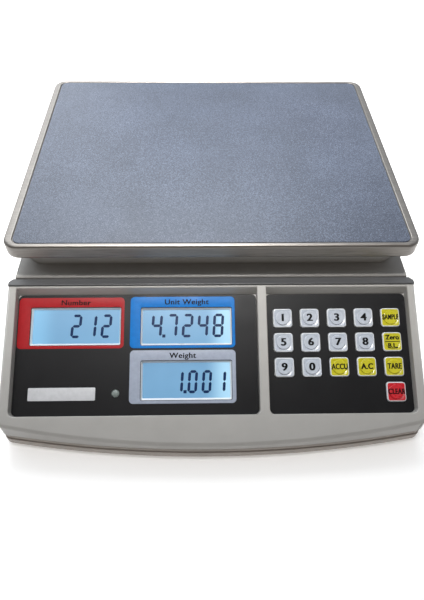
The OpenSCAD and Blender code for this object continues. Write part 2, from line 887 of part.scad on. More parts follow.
module foot_screw(i) {
    notches = 12;
    color([0.14, 0.14, 0.15]) translate([foot_at(i)[0], foot_at(i)[1], 0]) {
        difference() {
            translate([0, 0, disc_z]) cylinder(r = disc_r, h = disc_t);
            for (n = [0 : notches - 1]) {
                rotate([0, 0, n * 360 / notches]) translate([disc_r + 1, 0, 0])
                    cylinder(r = 2, h = 20, $fn = 24);
            }
        }
        cylinder_from(foot_r, disc_z + disc_t - fine, boss_top - 0.5);
        cylinder_from(3, 1.2, disc_z + fine);
    }
}

module foot_pad(i) {
    color([0.12, 0.12, 0.12]) translate([foot_at(i)[0], foot_at(i)[1], 0]) difference() {
        cylinder(r = pad_foot_r, h = pad_foot_t);
        translate([0, 0, 1]) cylinder(r = 3 + run, h = pad_foot_t);
    }
}

// --- the nodes -------------------------------------------------------------------------------------

upper_housing();
lower_housing();
trim_strip();
display_overlay();
keypad_overlay();
display_frame();
lcd(number_window);  // number_lcd
lcd(unit_window);  // unit_weight_lcd
lcd(weight_window);  // weight_lcd
display_board();
indicator_lens();
keypad_board();
key_domes();
digit_key(0);  // key_1
digit_key(1);  // key_2
digit_key(2);  // key_3
digit_key(3);  // key_4
function_key(4);  // key_sample
digit_key(5);  // key_5
digit_key(6);  // key_6
digit_key(7);  // key_7
digit_key(8);  // key_8
function_key(9);  // key_zero
digit_key(10);  // key_9
digit_key(11);  // key_0
function_key(12);  // key_accumulate
function_key(13);  // key_clear_total
function_key(14);  // key_tare
color([0.78, 0.16, 0.18]) key(15);  // key_clear
main_board();
chassis_plate();
load_cell_bracket();
load_cell();
platter_support();
support_pads();
platter();
platter_mat();
battery();
battery_cover();
transformer();
power_inlet();
switch_body();
switch_rocker();
level_vial();
foot_screw(0);  // foot_screw_front_left
foot_screw(1);  // foot_screw_front_right
foot_screw(2);  // foot_screw_rear_left
foot_screw(3);  // foot_screw_rear_right
foot_pad(0);  // foot_pad_front_left
foot_pad(1);  // foot_pad_front_right
foot_pad(2);  // foot_pad_rear_left
foot_pad(3);  // foot_pad_rear_right
load_cell_bolts();
support_bolts();
housing_screws();
overload_stops();
load_cell_cable();
board_ribbons();
power_wiring();
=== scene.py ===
"""Looks of the counting scale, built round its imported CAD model. Sizes are in millimetres until they
reach a mesh, and the frame is the CAD's: X to the right, Y to the back, Z up, the bench at Z 0."""

import json
from math import cos, pi, radians, sin, tan

import bmesh
import bpy
from mathutils import Matrix, Vector


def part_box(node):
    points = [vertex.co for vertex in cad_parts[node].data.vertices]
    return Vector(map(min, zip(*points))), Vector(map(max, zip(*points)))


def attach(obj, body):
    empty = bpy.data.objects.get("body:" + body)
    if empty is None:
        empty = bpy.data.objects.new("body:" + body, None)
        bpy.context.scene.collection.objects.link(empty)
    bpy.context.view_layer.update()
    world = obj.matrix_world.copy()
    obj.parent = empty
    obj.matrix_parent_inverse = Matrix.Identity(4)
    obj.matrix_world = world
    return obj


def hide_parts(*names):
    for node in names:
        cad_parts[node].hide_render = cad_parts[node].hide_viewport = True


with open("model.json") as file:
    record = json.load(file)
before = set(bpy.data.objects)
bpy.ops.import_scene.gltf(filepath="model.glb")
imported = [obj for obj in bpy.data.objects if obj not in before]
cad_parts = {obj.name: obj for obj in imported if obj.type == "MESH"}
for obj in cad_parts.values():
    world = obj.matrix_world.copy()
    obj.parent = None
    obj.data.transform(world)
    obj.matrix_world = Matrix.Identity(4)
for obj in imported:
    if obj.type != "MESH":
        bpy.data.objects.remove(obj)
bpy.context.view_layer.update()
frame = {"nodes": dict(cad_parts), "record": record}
nodes = frame["nodes"]
slot_of = {part["node"]: part["material_slot"] for part in frame["record"]["subparts"]}

MM = 0.001
WELD = 0.00001
CAPITAL_SHARE = 0.70
LETTER_SPACE = 1.08
PRINT_STEP, PRINT_LIFT = 0.9, 0.025
MAT_GRAIN = 2.5

# The console's own frame, as in the CAD: X right, V down the slope and H out of the overlays' face
PANEL_TILT = radians(27.06)
PANEL_Y, PANEL_Z = -67.5, 66.5
PANEL = (Matrix.Scale(MM, 4) @ Matrix.Translation((0, PANEL_Y, PANEL_Z))
         @ Matrix.Rotation(PANEL_TILT, 4, "X") @ Matrix.Diagonal((1, -1, 1, 1)))
WORLD = Matrix.Scale(MM, 4)

LCD_H = -2.85
LAMP_REACH = 22.0
WINDOWS = {
    "number": (-134, -68, 9.4, 37.4),
    "unit_weight": (-53.2, 13.8, 9.8, 37.8),
    "weight": (-52.6, 13.2, 49.2, 77.4),
}
KEY_TOP = 0.9
KEY_PITCH_X, KEY_PITCH_V = 20.1, 18.2
KEY_X0, KEY_V0 = 51.7, 18.4

# --- materials -------------------------------------------------------------------------------------


def add(tree, kind, inputs=None, **settings):
    """Adds a shader node. An input that is another node's socket is linked, and any other is set."""
    node = tree.nodes.new("ShaderNode" + kind)
    for key, value in settings.items():
        setattr(node, key, value)
    for key, value in (inputs or {}).items():
        if isinstance(value, bpy.types.NodeSocket):
            tree.links.new(value, node.inputs[key])
        else:
            node.inputs[key].default_value = value
    return node


class Finish:
    """A material under construction. Texture scales are features per millimetre."""

    def __init__(self, name, colour, roughness, metallic=0.0, **sockets):
        self.material = bpy.data.materials.new(name)
        self.material.use_nodes = True
        self.tree = self.material.node_tree
        self.shader = self.tree.nodes["Principled BSDF"]
        self.colour = colour
        self.roughness = roughness
        self.set("Base Color", (*colour, 1))
        self.set("Roughness", roughness)
        self.set("Metallic", metallic)
        for key, value in sockets.items():
            self.set(key.replace("_", " "), value)
        place = add(self.tree, "TexCoord").outputs["Object"]
        scaled = add(self.tree, "VectorMath", {0: place, "Scale": 1 / MM}, operation="SCALE")
        self.place = scaled.outputs["Vector"]
        self.height = None

    def set(self, socket, value):
        if isinstance(value, bpy.types.NodeSocket):
            self.tree.links.new(value, self.shader.inputs[socket])
        else:
            self.shader.inputs[socket].default_value = value

    def stretched(self, stretch):
        """The place in millimetres, with each axis multiplied."""
        if stretch is None:
            return self.place
        return add(self.tree, "VectorMath", {0: self.place, 1: stretch}, operation="MULTIPLY").outputs[0]

    def noise(self, scale, detail=2.0, stretch=None):
        inputs = {"Vector": self.stretched(stretch), "Scale": scale, "Detail": detail, "Roughness": 0.55}
        return add(self.tree, "TexNoise", inputs).outputs["Fac"]

    def cells(self, scale, output="Distance"):
        return add(self.tree, "TexVoronoi", {"Vector": self.place, "Scale": scale}).outputs[output]

    def ranged(self, value, low, high, start=0.3, end=0.7):
        inputs = {"Value": value, "From Min": start, "From Max": end, "To Min": low, "To Max": high}
        return add(self.tree, "MapRange", inputs).outputs["Result"]

    def mixed(self, factor, first, second):
        mix = add(self.tree, "Mix", data_type="RGBA")
        for index, value in ((0, factor), (6, first), (7, second)):
            if isinstance(value, bpy.types.NodeSocket):
                self.tree.links.new(value, mix.inputs[index])
            elif index == 0:
                mix.inputs[index].default_value = value
            else:
                mix.inputs[index].default_value = (*value, 1)
        return mix.outputs[2]

    def mottle(self, spread, scale, detail=3.0, stretch=None):
        """The colour drifts a little, lighter and darker."""
        dark = [c * (1 - spread) for c in self.colour]
        light = [min(1, c * (1 + spread)) for c in self.colour]
        factor = self.ranged(self.noise(scale, detail, stretch), 0, 1)
        self.set("Base Color", self.mixed(factor, dark, light))
        return self

    def sheen_patches(self, spread, scale, detail=3.0, stretch=None):
        """The roughness drifts a little, as on a handled surface."""
        low, high = self.roughness - spread, self.roughness + spread
        self.set("Roughness", self.ranged(self.noise(scale, detail, stretch), low, high))
        return self

    def relief(self, value, depth, strength=1.0):
        """Adds a bump of that depth in millimetres under what is there already."""
        inputs = {"Height": value, "Distance": depth * MM, "Strength": strength}
        if self.height is not None:
            inputs["Normal"] = self.height
        self.height = add(self.tree, "Bump", inputs).outputs["Normal"]
        self.set("Normal", self.height)
        return self


def moulded(name, colour, roughness=0.42, grain=0.018, **sockets):
    """Injection-moulded plastic with a fine spark-eroded texture."""
    finish = Finish(name, colour, roughness, **sockets)
    finish.mottle(0.035, 0.06, 4.0)
    finish.sheen_patches(0.05, 0.11)
    finish.relief(finish.noise(2.6, 3.0), grain)
    finish.relief(finish.noise(0.05, 2.0), 0.05)
    return finish


def film(name, colour, roughness=0.38, grain=0.006, **sockets):
    """Printed polyester film with a very fine orange peel."""
    finish = Finish(name, colour, roughness, **sockets)
    finish.mottle(0.06, 0.3, 3.0)
    finish.sheen_patches(0.06, 0.07)
    finish.relief(finish.noise(1.8, 2.0), grain)
    return finish


def brushed(name, colour, roughness=0.34, along=(0.012, 1.0, 1.0), streak=0.5, **sockets):
    """Brushed steel: scratches run along the axis with the smallest stretch."""
    finish = Finish(name, colour, roughness, 1.0, **sockets)
    lines = finish.noise(5.0, 4.0, along)
    fine_lines = finish.noise(14.0, 3.0, along)
    dark = [c * (1 - 0.24 * streak) for c in colour]
    light = [min(1, c * (1 + 0.16 * streak)) for c in colour]
    finish.set("Base Color", finish.mixed(finish.ranged(lines, 0, 1), dark, light))
    finish.set("Roughness", finish.ranged(lines, roughness - 0.07, roughness + 0.09))
    finish.relief(fine_lines, 0.004 * streak)
    finish.relief(lines, 0.006 * streak)
    return finish


def mat_vinyl():
    """Dark embossed vinyl with a soft sheen. Its fine lighter specks are painted glints: colour where the
    grain would catch the light.
    """
    finish = Finish("mat_vinyl", (0.030, 0.039, 0.062), 0.34, Specular_IOR_Level=0.55)
    specks = finish.cells(MAT_GRAIN, "Color")
    speck = add(finish.tree, "SeparateColor", {"Color": specks}).outputs["Red"]
    # Painted glints: the brightest grain cells lighten the base colour
    spark = finish.ranged(speck, 0, 0.9, 0.5, 1.0)
    drift = finish.ranged(finish.noise(0.02, 2.0), 0.86, 1.12)
    base = finish.mixed(spark, finish.colour, (0.130, 0.155, 0.212))
    tint = add(finish.tree, "VectorMath", {0: base, "Scale": drift}, operation="SCALE").outputs["Vector"]
    finish.set("Base Color", tint)
    finish.set("Roughness", finish.ranged(speck, 0.30, 0.46, 0, 1))
    finish.relief(finish.cells(MAT_GRAIN), 0.05, 0.5)
    finish.relief(finish.noise(2.4, 3.0), 0.03, 0.6)
    return finish


def circuit_board():
    """Green solder mask with paler tracks and tinned pads."""
    finish = Finish("circuit_board", (0.02, 0.13, 0.05), 0.32)
    bricks = add(finish.tree, "TexBrick", {
        "Vector": finish.place, "Scale": 0.21, "Mortar Size": 0.03,
        "Color1": (0.018, 0.12, 0.045, 1), "Color2": (0.02, 0.15, 0.055, 1),
        "Mortar": (0.05, 0.27, 0.10, 1),
    })
    pads = finish.ranged(finish.cells(0.32), 1, 0, 0.10, 0.16)
    finish.set("Base Color", finish.mixed(pads, bricks.outputs["Color"], (0.72, 0.70, 0.62)))
    finish.set("Metallic", pads)
    finish.relief(bricks.outputs["Fac"], 0.03)
    return finish


def cell_glow(name, lamp_x, lamp_colour=(0.36, 0.62, 0.80)):
    """A backlit liquid-crystal cell: a blue glow that grows paler towards the lamp at one end."""
    finish = Finish(name, (0.08, 0.13, 0.18), 0.22, Coat_Weight=0.35, Coat_Roughness=0.12)
    x = add(finish.tree, "SeparateXYZ", {"Vector": finish.place}).outputs["X"]
    away = add(finish.tree, "Math", {0: x, 1: lamp_x}, operation="SUBTRACT").outputs[0]
    away = add(finish.tree, "Math", {0: away}, operation="ABSOLUTE").outputs[0]
    fall = {"Value": away, "From Min": 1.0, "From Max": LAMP_REACH, "To Min": 1.0, "To Max": 0.0}
    near = add(finish.tree, "MapRange", fall, interpolation_type="SMOOTHERSTEP").outputs["Result"]
    cloud = finish.ranged(finish.noise(0.035, 2.0), 0.0, 1.0, 0.25, 0.75)
    even = finish.mixed(cloud, (0.095, 0.250, 0.430), (0.115, 0.290, 0.480))
    finish.set("Emission Color", finish.mixed(near, even, lamp_colour))
    finish.set("Emission Strength", 1.0)
    finish.relief(finish.noise(3.0, 2.0), 0.003)
    return finish


def plain_metal(name, colour, roughness, scale, depth):
    """Cast, milled or plated metal, by the size and depth of its grain."""
    finish = Finish(name, colour, roughness, 1.0)
    finish.mottle(0.10, scale * 0.3, 4.0)
    finish.sheen_patches(0.08, scale * 0.5)
    finish.relief(finish.noise(scale, 4.0), depth)
    return finish


def rubbery(name, colour, roughness=0.75):
    finish = Finish(name, colour, roughness, Specular_IOR_Level=0.35)
    finish.mottle(0.12, 0.2, 4.0)
    finish.sheen_patches(0.07, 0.3)
    finish.relief(finish.noise(1.6, 4.0), 0.03)
    return finish


def cushioned_key(name, colour):
    """Glossy keycap plastic with a trace of translucency and finger wear."""
    finish = Finish(name, colour, 0.30, Subsurface_Weight=0.08, Subsurface_Radius=(0.001, 0.001, 0.0008),
                    Subsurface_Scale=0.5, Coat_Weight=0.25, Coat_Roughness=0.18)
    finish.mottle(0.05, 0.25, 3.0)
    finish.sheen_patches(0.07, 0.35)
    finish.relief(finish.noise(2.4, 2.0), 0.006)
    return finish


FINISHES = {
    "housing_plastic": moulded("housing_plastic", (0.375, 0.367, 0.350)),
    # The base is the housing's grey plastic; this darker, warmer colour is painted shade, as the base lies
    # low in warm shadow
    "base_plastic": moulded("base_plastic", (0.345, 0.308, 0.275)),
    "trim_plastic": moulded("trim_plastic", (0.078, 0.079, 0.082), 0.34, 0.010),
    "overlay_film": film("overlay_film", (0.0065, 0.0065, 0.0075), 0.42, Specular_IOR_Level=0.22),
    "frame_plastic": moulded("frame_plastic", (0.78, 0.81, 0.84), 0.32, 0.006),
    "lcd_cell": cell_glow("lcd_cell", WINDOWS["number"][0], (0.165, 0.415, 0.64)),
    "circuit_board": circuit_board(),
    "lens_plastic": film("lens_plastic", (0.20, 0.235, 0.225), 0.12, 0.001),
    "silicone": rubbery("silicone", (0.62, 0.62, 0.58), 0.5),
    "chassis_steel": plain_metal("chassis_steel", (0.52, 0.53, 0.52), 0.38, 0.35, 0.02),
    "cast_alloy": plain_metal("cast_alloy", (0.60, 0.61, 0.62), 0.48, 0.9, 0.09),
    "machined_alloy": brushed("machined_alloy", (0.78, 0.79, 0.80), 0.30, (1.0, 0.03, 1.0), 0.7),
    "black_rubber": rubbery("black_rubber", (0.022, 0.022, 0.022)),
    "platter_steel": brushed("platter_steel", (0.255, 0.238, 0.220), 0.36, streak=1.2),
    "mat_vinyl": mat_vinyl(),
    "battery_case": moulded("battery_case", (0.03, 0.032, 0.036), 0.5, 0.03),
    "transformer_iron": plain_metal("transformer_iron", (0.22, 0.17, 0.13), 0.45, 0.5, 0.05),
    "black_plastic": moulded("black_plastic", (0.018, 0.018, 0.019), 0.34, 0.008),
    "rocker_plastic": moulded("rocker_plastic", (0.42, 0.015, 0.012), 0.2, 0.002, Coat_Weight=0.4),
    "vial_acrylic": film("vial_acrylic", (0.52, 0.72, 0.12), 0.08, 0.001),
    "zinc_steel": plain_metal("zinc_steel", (0.66, 0.66, 0.65), 0.28, 0.8, 0.01),
    "cable_jacket": rubbery("cable_jacket", (0.03, 0.03, 0.032), 0.55),
    "ribbon_jacket": film("ribbon_jacket", (0.42, 0.43, 0.45), 0.5, 0.01),
    "wire_jacket": rubbery("wire_jacket", (0.40, 0.03, 0.02), 0.45),
    "key_grey": cushioned_key("key_grey", (0.45, 0.49, 0.555)),
    "key_yellow": cushioned_key("key_yellow", (0.52, 0.475, 0.010)),
    "key_red": cushioned_key("key_red", (0.56, 0.012, 0.022)),
    "foot_screw": plain_metal("foot_screw", (0.05, 0.05, 0.052), 0.42, 0.8, 0.02),
}
KEY_BORDER = cushioned_key("key_border", (0.66, 0.69, 0.72))
INK_RED = film("ink_red", (0.345, 0.011, 0.015), 0.40, 0.008, Specular_IOR_Level=0.15)
INK_BLUE = film("ink_blue", (0.001, 0.155, 0.500), 0.40, 0.008, Specular_IOR_Level=0.15)
INK_GREY = film("ink_grey", (0.315, 0.355, 0.44), 0.38, 0.008, Specular_IOR_Level=0.25)
INK_BLACK = film("ink_black", (0.004, 0.004, 0.005), 0.45, 0.004, Specular_IOR_Level=0.12)
INK_SILVER = film("ink_silver", (0.56, 0.57, 0.59), 0.33, 0.008)
INK_WHITE = film("ink_white", (0.78, 0.80, 0.82), 0.4, 0.006)
SEGMENT = film("lcd_segment", (0.004, 0.022, 0.085), 0.30, 0.002, Specular_IOR_Level=0.15)
BRASS = plain_metal("inlet_brass", (0.74, 0.62, 0.40), 0.25, 0.7, 0.01)
BUBBLE = film("vial_bubble", (0.80, 0.92, 0.42), 0.05, 0.0)

for name, node in nodes.items():
    node.data.materials.clear()
    node.data.materials.append(FINISHES[slot_of[name]].material)
for name in ("unit_weight", "weight"):
    nodes[name + "_lcd"].data.materials[0] = cell_glow(name + "_lcd_cell", WINDOWS[name][1]).material

# --- mesh helpers ----------------------------------------------------------------------------------


def finished(name, mesh, finishes, body, smooth=40):
    """Turns a bmesh into a piece on its body. Faces that meet under that angle shade smoothly."""
    bmesh.ops.recalc_face_normals(mesh, faces=mesh.faces)
    for face in mesh.faces:
        face.smooth = True
    for edge in mesh.edges:
        if len(edge.link_faces) == 2:
            edge.smooth = edge.calc_face_angle() < radians(smooth)
    data = bpy.data.meshes.new(name)
    mesh.to_mesh(data)
    mesh.free()
    for finish in finishes if isinstance(finishes, tuple) else (finishes,):
        data.materials.append(finish.material)
    piece = bpy.data.objects.new(name, data)
    bpy.context.scene.collection.objects.link(piece)
    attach(piece, body)
    return piece


def ring(half_x, half_y, radius, steps=8):
    """Points round a rectangle with round corners; the count is the same at any size, a circle's too."""
    points = []
    for corner, (sx, sy) in enumerate(((1, 1), (-1, 1), (-1, -1), (1, -1))):
        for step in range(steps + 1):
            turn = (corner + step / steps) * pi / 2
            points.append((sx * (half_x - radius) + radius * cos(turn),
                           sy * (half_y - radius) + radius * sin(turn)))
    return points


def layer(centre, half_x, half_y, radius, height, steps=8):
    """A ring of points round a centre at one height."""
    return [(centre[0] + x, centre[1] + y, height) for x, y in ring(half_x, half_y, radius, steps)]


def loft(mesh, layers, place, closed=False, second=None):
    """Skins a run of layers. A closed run is a ring with a hole, and an open one gets two end caps.
    From the layer numbered second on, the faces take the piece's second finish."""
    rows = [[mesh.verts.new(place @ Vector(point)) for point in points] for points in layers]
    runs = len(rows) if closed else len(rows) - 1
    for index in range(runs):
        below, above = rows[index], rows[(index + 1) % len(rows)]
        for side in range(len(below)):
            after = (side + 1) % len(below)
            face = mesh.faces.new((below[side], below[after], above[after], above[side]))
            face.material_index = int(second is not None and index >= second)
    if not closed:
        mesh.faces.new(list(reversed(rows[0])))
        mesh.faces.new(rows[-1]).material_index = int(second is not None)


def round_off(radius, steps=4):
    """Sideways and upward offsets along a quarter round, from its foot to its crown."""
    turns = [pi / 2 * i / steps for i in range(steps + 1)]
    return [(radius * (1 - cos(turn)), radius * sin(turn)) for turn in turns]


def slab_layers(centre, half_x, half_y, radius, low, high, edge):
    """Layers of a plate whose upper edge is rounded off."""
    layers = [layer(centre, half_x, half_y, radius, low)]
    for inward, up in round_off(edge):
        layers.append(layer(centre, half_x - inward, half_y - inward, max(radius - inward, 0.05),
                            high - edge + up))
    return layers


def panel_slab(name, box, radius, low, high, edge, finish):
    """A rounded plate on the console, from its X and V limits."""
    x0, x1, v0, v1 = box
    mesh = bmesh.new()
    loft(mesh, slab_layers(((x0 + x1) / 2, (v0 + v1) / 2), (x1 - x0) / 2, (v1 - v0) / 2, radius, low, high,
                           edge), PANEL)
    return finished(name, mesh, finish, "root")


def between(box):
    """Centre and half sizes of X and V limits."""
    x0, x1, v0, v1 = box
    return ((x0 + x1) / 2, (v0 + v1) / 2), (x1 - x0) / 2, (v1 - v0) / 2


def panel_ring(name, outer, outer_r, inner, inner_r, low, high, edge, finish):
    """A flat frame on the console with rounded edges, between two sets of limits."""
    outer_at, outer_x, outer_v = between(outer)
    inner_at, inner_x, inner_v = between(inner)
    layers = slab_layers(outer_at, outer_x, outer_v, outer_r, low, high, edge)
    for inward, up in reversed(round_off(edge)):
        layers.append(layer(inner_at, inner_x + inward, inner_v + inward, inner_r + inward,
                            high - edge + up))
    layers.append(layer(inner_at, inner_x, inner_v, inner_r, low))
    mesh = bmesh.new()
    loft(mesh, layers, PANEL, closed=True)
    return finished(name, mesh, finish, "root")


def softened(node, name, rounding, finish, body, segments=3):
    """A copy of a CAD node in clean faces. rounding(middle, normals) gives an edge's radius."""
    mesh = bmesh.new()
    mesh.from_mesh(nodes[node].data)
    bmesh.ops.remove_doubles(mesh, verts=mesh.verts, dist=WELD)
    bmesh.ops.dissolve_limit(mesh, angle_limit=radians(0.4), verts=mesh.verts, edges=mesh.edges)
    weights = mesh.edges.layers.float.new("bevel_weight_edge")
    radii = {}
    for edge in mesh.edges:
        if len(edge.link_faces) == 2 and edge.calc_face_angle() > radians(25) and edge.is_convex:
            middle = (edge.verts[0].co + edge.verts[1].co) / 2 / MM
            radius = rounding(middle, [face.normal for face in edge.link_faces])
            if radius > 0:
                radii[edge] = radius
    widest = max(radii.values())
    for edge, radius in radii.items():
        edge[weights] = radius / widest
    piece = finished(name, mesh, finish, body, 30)
    bevel = piece.modifiers.new("rounding", "BEVEL")
    bevel.limit_method = "WEIGHT"
    bevel.width = widest * MM
    bevel.segments = segments
    bevel.use_clamp_overlap = False
    bevel.miter_outer = "MITER_ARC"
    piece.modifiers.new("flat_faces", "WEIGHTED_NORMAL").keep_sharp = True
    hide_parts(node)
    return piece


def lettering(name, words, centre, height, finish, body, bold, stretch, surface):
    """Words printed on a surface of the console, whose height at X and V is surface(x, v). Two more
    copies, a boldness to either side, thicken the strokes."""
    curve = bpy.data.curves.new(name, "FONT")
    curve.body = words
    curve.align_x = "CENTER"
    curve.align_y = "CENTER"
    curve.size = height / CAPITAL_SHARE
    curve.offset = bold / 2
    curve.extrude = 0.02
    curve.space_character = LETTER_SPACE
    source = bpy.data.objects.new(name + "_source", curve)
    bpy.context.scene.collection.objects.link(source)
    shaped = source.evaluated_get(bpy.context.evaluated_depsgraph_get())
    data = bpy.data.meshes.new_from_object(shaped)
    bpy.data.objects.remove(source)
    mesh = bmesh.new()
    mesh.from_mesh(data)
    bpy.data.meshes.remove(data)
    bmesh.ops.remove_doubles(mesh, verts=mesh.verts, dist=0.001)
    bmesh.ops.triangulate(mesh, faces=mesh.faces)
    for _ in range(3):
        long_edges = [edge for edge in mesh.edges if edge.calc_length() > PRINT_STEP]
        if long_edges:
            bmesh.ops.subdivide_edges(mesh, edges=long_edges, cuts=1)
            bmesh.ops.triangulate(mesh, faces=mesh.faces)
    first = list(mesh.verts) + list(mesh.edges) + list(mesh.faces)
    for shift in (-bold, bold):
        copies = bmesh.ops.duplicate(mesh, geom=first)["geom"]
        bmesh.ops.translate(mesh, vec=(shift, 0, 0),
                            verts=[part for part in copies if isinstance(part, bmesh.types.BMVert)])
    for vert in mesh.verts:
        x = centre[0] + vert.co.x * stretch
        v = centre[1] - vert.co.y
        vert.co = PANEL @ Vector((x, v, surface(x, v) + vert.co.z + PRINT_LIFT))
    return finished(name, mesh, finish, body)


# --- platter ---------------------------------------------------------------------------------------

RIM_BEND = 2.2
HEM, HEM_RISE = 0.95, 1.6
SHEET = 1.2
BED_DROP = 1.0
MAT_SIDE, MAT_FRONT = 6.7, 4.2
PLATTER_R = 10.5


def platter_pan():
    """The pressed pan: a skirt with a bent rim, a bed sunk for the mat, and the same again below."""
    low, high = (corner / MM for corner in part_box("platter"))
    at = ((low.x + high.x) / 2, (low.y + high.y) / 2)
    half_x, half_y = (high.x - low.x) / 2, (high.y - low.y) / 2
    bed_x, bed_y = half_x - MAT_SIDE + 0.45, half_y - MAT_FRONT + 0.45
    top, under = high.z, high.z - SHEET

    def at_inset(inset, height):
        return layer(at, half_x - inset, half_y - inset, max(PLATTER_R - inset, 0.4), height, 12)

    def at_bed(outset, height):
        return layer(at, bed_x + outset, bed_y + outset, 6 + outset, height, 12)

    layers = [at_inset(HEM * (1 - sin(step)), low.z + HEM_RISE * (1 - cos(step)))
              for step in (0.1, 0.4, 0.8, 1.2, pi / 2)]
    layers += [at_inset(inward, top - RIM_BEND + up) for inward, up in round_off(RIM_BEND, 6)]
    dip = round_off(0.7, 4)
    layers += [at_bed(inward, top - 0.7 + up) for inward, up in reversed(dip)]
    layers.append(at_bed(0, top - BED_DROP))
    layers.append(at_bed(-0.4, top - BED_DROP))
    mesh = bmesh.new()
    upper = layers
    lower = [at_bed(-0.4, under - BED_DROP), at_bed(SHEET, under - BED_DROP), at_bed(SHEET + 0.3, under)]
    lower += [at_inset(SHEET + inward, under - 1.0 + up) for inward, up in reversed(round_off(1.0, 4))]
    lower.append(at_inset(SHEET, low.z + 0.2))
    lower.append(at_inset(SHEET - 0.15, low.z))
    loft(mesh, list(reversed(upper)) + list(reversed(lower)), WORLD)
    pan = finished("platter_pan", mesh, FINISHES["platter_steel"], "platter", 50)
    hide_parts("platter")
    pan.modifiers.new("flat_faces", "WEIGHTED_NORMAL").keep_sharp = True
    return pan


def mat_sheet():
    low, high = (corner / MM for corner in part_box("platter_mat"))
    at = ((low.x + high.x) / 2, (low.y + high.y) / 2)
    mesh = bmesh.new()
    loft(mesh, slab_layers(at, (high.x - low.x) / 2, (high.y - low.y) / 2, 5.6, low.z, high.z, 0.45), WORLD)
    mat = finished("mat_sheet", mesh, FINISHES["mat_vinyl"], "platter", 50)
    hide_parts("platter_mat")
    mat.modifiers.new("flat_faces", "WEIGHTED_NORMAL").keep_sharp = True
    return mat


platter_pan()
mat_sheet()

# --- housing ---------------------------------------------------------------------------------------

PANEL_NORMAL = Vector((0, -sin(PANEL_TILT), cos(PANEL_TILT)))
CONSOLE_REAR_Y = -59
SHELF_Z = 78


def housing_rounding(middle, normals):
    """Generous on the console's outer edge, small round the recesses and the plinth, none inside."""
    x, y, z = middle
    faces_up = [normal for normal in normals if normal.dot(PANEL_NORMAL) > 0.98]
    if y < CONSOLE_REAR_Y - 2 and faces_up:
        outer = any(abs(normal.z) < 0.3 and normal.dot(Vector((x / 6, y + 67, 0)).normalized()) > 0.5
                    for normal in normals) and (abs(x) > 147 or y < -148)
        return 2.0 if outer else 0.55
    if y > CONSOLE_REAR_Y - 1 and z > SHELF_Z + 10:
        return 1.4
    if y > CONSOLE_REAR_Y - 1 and abs(z - SHELF_Z) < 1.5 and any(normal.z > 0.9 for normal in normals):
        return 1.2
    if z < 17 and any(normal.z < -0.9 for normal in normals) and (abs(x) > 148 or y < -140 or y > 158):
        return 0.5
    return 0


def base_rounding(middle, _):
    x, y, z = middle
    if z > 14 or not (abs(x) > 148 or y < -140 or y > 157):
        return 0
    return 0.6


softened("upper_housing", "housing_shell", housing_rounding, FINISHES["housing_plastic"], "root")
softened("lower_housing", "base_shell", base_rounding, FINISHES["base_plastic"], "root")
softened("trim_strip", "trim_bar", lambda middle, _: 0.45, FINISHES["trim_plastic"], "root")

# --- console ---------------------------------------------------------------------------------------

FILM_FACE, FRAME_TOP, HEADING_H = 0.005, 0.08, 0.09
PRINT_EDGE = 0.03
FRAME_R, WINDOW_R, WINDOW_GAP = 3, 1.3, 0.3
NAME_PLATE = (-132.8, -84.9, 68, 77.2)
# Each display's printed frame: its limits, its ink, and its heading with the heading's middle
HEADED_FRAMES = [
    ("number", (-143, -65.5, 2, 39.9), INK_RED, "Number", (-101.5, 5.9)),
    ("unit_weight", (-61, 16.2, 1.6, 39.9), INK_BLUE, "Unit Weight", (-19.5, 5.7)),
    ("weight", (-60.7, 16.3, 41.5, 79.8), INK_GREY, "Weight", (-22.3, 45.6)),
]


def console_prints():
    """Coloured frames round the displays, headings and a blank plate, printed a hair above the film."""
    for name, outer, ink, _, _ in HEADED_FRAMES:
        x0, x1, v0, v1 = WINDOWS[name]
        window = (x0 - WINDOW_GAP, x1 + WINDOW_GAP, v0 - WINDOW_GAP, v1 + WINDOW_GAP)
        panel_ring(name + "_frame_print", outer, FRAME_R, window, WINDOW_R, FILM_FACE, FRAME_TOP,
                   PRINT_EDGE, ink)
    for name, _, _, heading, at in HEADED_FRAMES:
        lettering(name + "_heading", heading, at, 3.9, INK_BLACK, "root", 0.10, 1.08,
                  lambda x, v: HEADING_H)
    panel_slab("name_plate_blank", NAME_PLATE, 0.8, FILM_FACE, 0.09, PRINT_EDGE, INK_SILVER)


def window_bezels():
    """The sloping light sides that lead down from each window to its cell."""
    side, top, bottom, clear = 1.15, 1.3, 1.5, 0.04
    for name, (x0, x1, v0, v1) in WINDOWS.items():
        outer = (x0 + clear, x1 - clear, v0 + clear, v1 - clear)
        inner = (x0 + side, x1 - side, v0 + top, v1 - bottom)
        outer_at, outer_x, outer_v = between(outer)
        inner_at, inner_x, inner_v = between(inner)
        layers = [
            layer(outer_at, outer_x, outer_v, 1, LCD_H + 0.03),
            layer(outer_at, outer_x, outer_v, 1, -0.95),
            layer(outer_at, outer_x - 0.15, outer_v - 0.15, 0.9, -0.85),
            layer(inner_at, inner_x, inner_v, 0.6, LCD_H + 0.35),
            layer(inner_at, inner_x, inner_v, 0.6, LCD_H + 0.03),
        ]
        mesh = bmesh.new()
        loft(mesh, layers, PANEL, closed=True)
        finished(name + "_bezel", mesh, FINISHES["frame_plastic"], "root")


SEGMENTS = {"0": "abcdef", "1": "bc", "2": "abged", "4": "fgbc", "7": "abc", "8": "abcdefg"}
SLANT = tan(radians(3.9))
BAR_THICK, BAR_SPLIT, BAR_HEIGHT = 2.0, 0.14, 0.04
DOT_OUT, DOT_HALF = 0.9 * BAR_THICK, 0.58 * BAR_THICK
# Each display's digits: right edge, top and foot of the digits, width of one, and pitch
READINGS = [
    ("number_digits", "212", -75.7, 14.1, 31.8, 7.6, 11.1),
    ("unit_weight_digits", "4.7248", 7.4, 14.1, 31.8, 8.0, 11.4),
    ("weight_digits", "1.001", 8.4, 56.0, 72.6, 7.0, 10.3),
]


